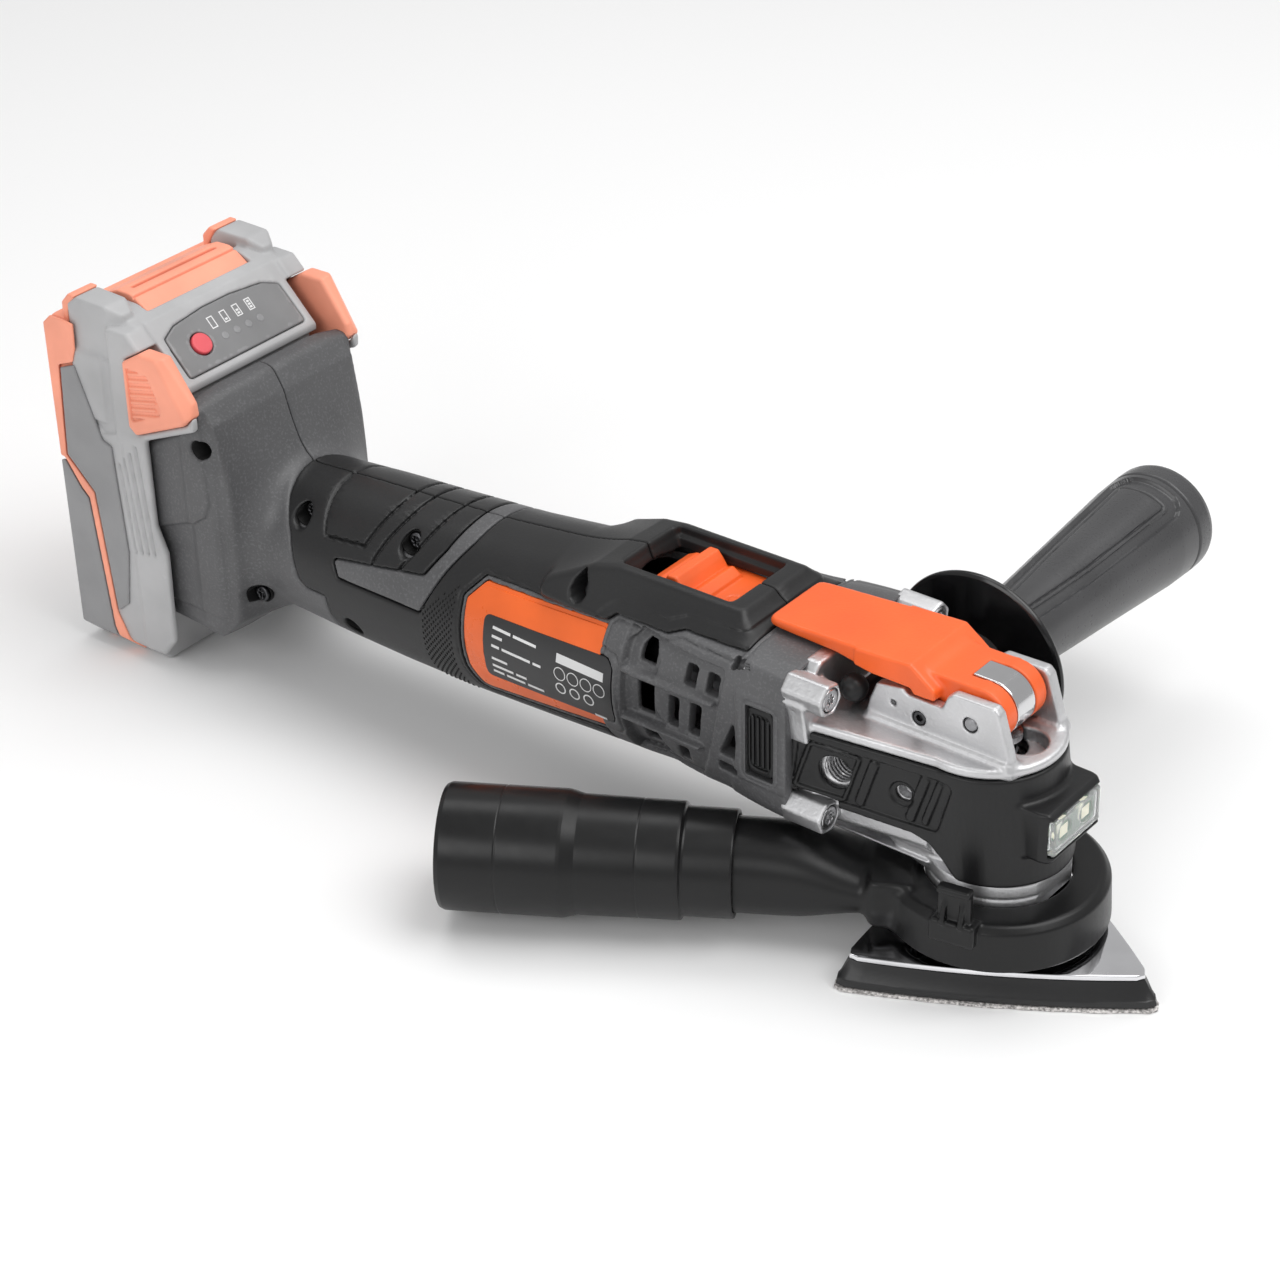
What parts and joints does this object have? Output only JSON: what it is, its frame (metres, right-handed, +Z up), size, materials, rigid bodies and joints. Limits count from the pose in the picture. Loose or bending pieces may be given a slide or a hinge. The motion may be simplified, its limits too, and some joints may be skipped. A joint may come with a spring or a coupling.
{
  "type": "oscillating multi tool",
  "caption": "Cordless oscillating multi tool with delta sanding pad, lever clamp, slide switch, side handle, dust adapter and slide-on battery.",
  "frame": {"origin": "on the spindle axis, at the sanding face", "axes": "+Z up along the spindle, +X from the battery to the tip of the pad, +Y to the side handle"},
  "size_m": [0.3792, 0.243, 0.1245],
  "materials": {
    "shell": "fine textured dark grey moulding",
    "overmould": "soft-touch black with a fine grain",
    "orange": "satin orange moulding",
    "casting": "bright die-cast and tumbled",
    "cover": "satin black moulding",
    "black_plastic": "semi-gloss black moulding",
    "steel": "machined",
    "dark_steel": "blackened",
    "copper": "wound enamelled copper on steel laminations",
    "lens": "clear moulded lens",
    "board": "green laminate",
    "brass": "stamped",
    "chrome": "bright plated",
    "foam": "moulded black backing",
    "abrasive": "grit on paper backing",
    "pack_grey": "pale satin moulding",
    "pack_orange": "pale satin moulding",
    "pack_dark": "grey satin moulding",
    "gauge": "grey gloss panel",
    "gauge_red": "soft red button",
    "label": "printed foil",
    "cell": "sleeved cells"
  },
  "bodies": {
    "housing": {"housing_shell_right": "shell", "housing_shell_left": "shell", "grip_cover_right": "overmould", "grip_cover_left": "overmould", "label_inlay_right": "orange", "label_inlay_left": "orange", "rating_plate_right": "label", "rating_plate_left": "label", "side_pad_right": "overmould", "side_pad_left": "overmould", "gear_case": "casting", "gear_case_screw_1": "steel", "gear_case_screw_2": "steel", "gear_case_screw_3": "steel", "gear_case_screw_4": "steel", "head_cover": "cover", "light_board": "board", "light_lens": "lens", "lever_pin": "dark_steel", "set_screw": "dark_steel", "lever_bumper": "overmould", "spindle_bearing_lower": "steel", "spindle_bearing_upper": "steel", "motor_can": "steel", "motor_magnet_ring": "dark_steel", "motor_end_bell": "black_plastic", "front_bearing": "steel", "switch_module": "black_plastic", "control_board": "board", "terminal_block": "brass", "dust_adapter": "black_plastic", "hose_adapter": "overmould", "handle_grip": "black_plastic", "handle_stud": "steel"},
    "spindle_group": {"spindle": "steel", "rocker_fork": "dark_steel", "clamp_spring": "dark_steel", "sanding_sheet": "abrasive", "pad_foam": "foam", "pad_plate": "chrome"},
    "clamp_bolt_group": {"clamp_bolt": "steel"},
    "lever_group": {"clamp_lever": "orange", "cam_strap": "steel"},
    "rotor": {"motor_shaft": "steel", "armature": "copper", "commutator": "brass", "eccentric_bearing": "steel", "cooling_fan": "black_plastic", "counterweight": "brass"},
    "switch_group": {"switch_slider": "orange", "switch_link": "black_plastic"},
    "battery": {"battery_case_front": "pack_grey", "battery_band": "pack_orange", "battery_case_rear": "pack_dark", "battery_bumper": "pack_orange", "battery_cells": "cell", "fuel_gauge_panel": "gauge"},
    "release_right": {"release_button_right": "pack_orange"},
    "release_left": {"release_button_left": "pack_orange"},
    "gauge_press": {"gauge_button": "gauge_red"}
  },
  "joints": [
    {"name": "spindle_oscillation", "type": "hinge", "parent": "housing", "child": "spindle_group", "pos_m": [0, 0, 0], "axis": [0, 0, 1], "range_deg": [-1.6, 1.6]},
    {"name": "lever_pivot", "type": "hinge", "parent": "housing", "child": "lever_group", "pos_m": [-0.002, 0, 0.0784], "axis": [0, 1, 0], "range_deg": [0, 130]},
    {"name": "clamp_release", "type": "slide", "parent": "spindle_group", "child": "clamp_bolt_group", "axis": [0, 0, -1], "range_m": [0, 0.0018], "deforming": ["clamp_spring"]},
    {"name": "motor_spin", "type": "hinge", "parent": "housing", "child": "rotor", "pos_m": [-0.1, 0, 0.056], "axis": [1, 0, 0], "continuous": true},
    {"name": "switch_slide", "type": "slide", "parent": "housing", "child": "switch_group", "axis": [1, 0, 0], "range_m": [0, 0.008]},
    {"name": "battery_slide", "type": "slide", "parent": "housing", "child": "battery", "axis": [0, 0, 1], "range_m": [0, 0.075]},
    {"name": "release_right_press", "type": "slide", "parent": "battery", "child": "release_right", "axis": [0, 1, 0], "range_m": [0, 0.003], "stiffness_N_per_m": 800, "springref_m": -0.002},
    {"name": "release_left_press", "type": "slide", "parent": "battery", "child": "release_left", "axis": [0, -1, 0], "range_m": [0, 0.003], "stiffness_N_per_m": 800, "springref_m": -0.002},
    {"name": "gauge_button_press", "type": "slide", "parent": "battery", "child": "gauge_press", "axis": [-0.7071, 0, -0.7071], "range_m": [0, 0.0006], "stiffness_N_per_m": 1200, "springref_m": -0.0005}
  ],
  "couplings": [
    {"joint": "clamp_release", "follows": "lever_pivot", "m_per_rad": 0.000793}
  ]
}
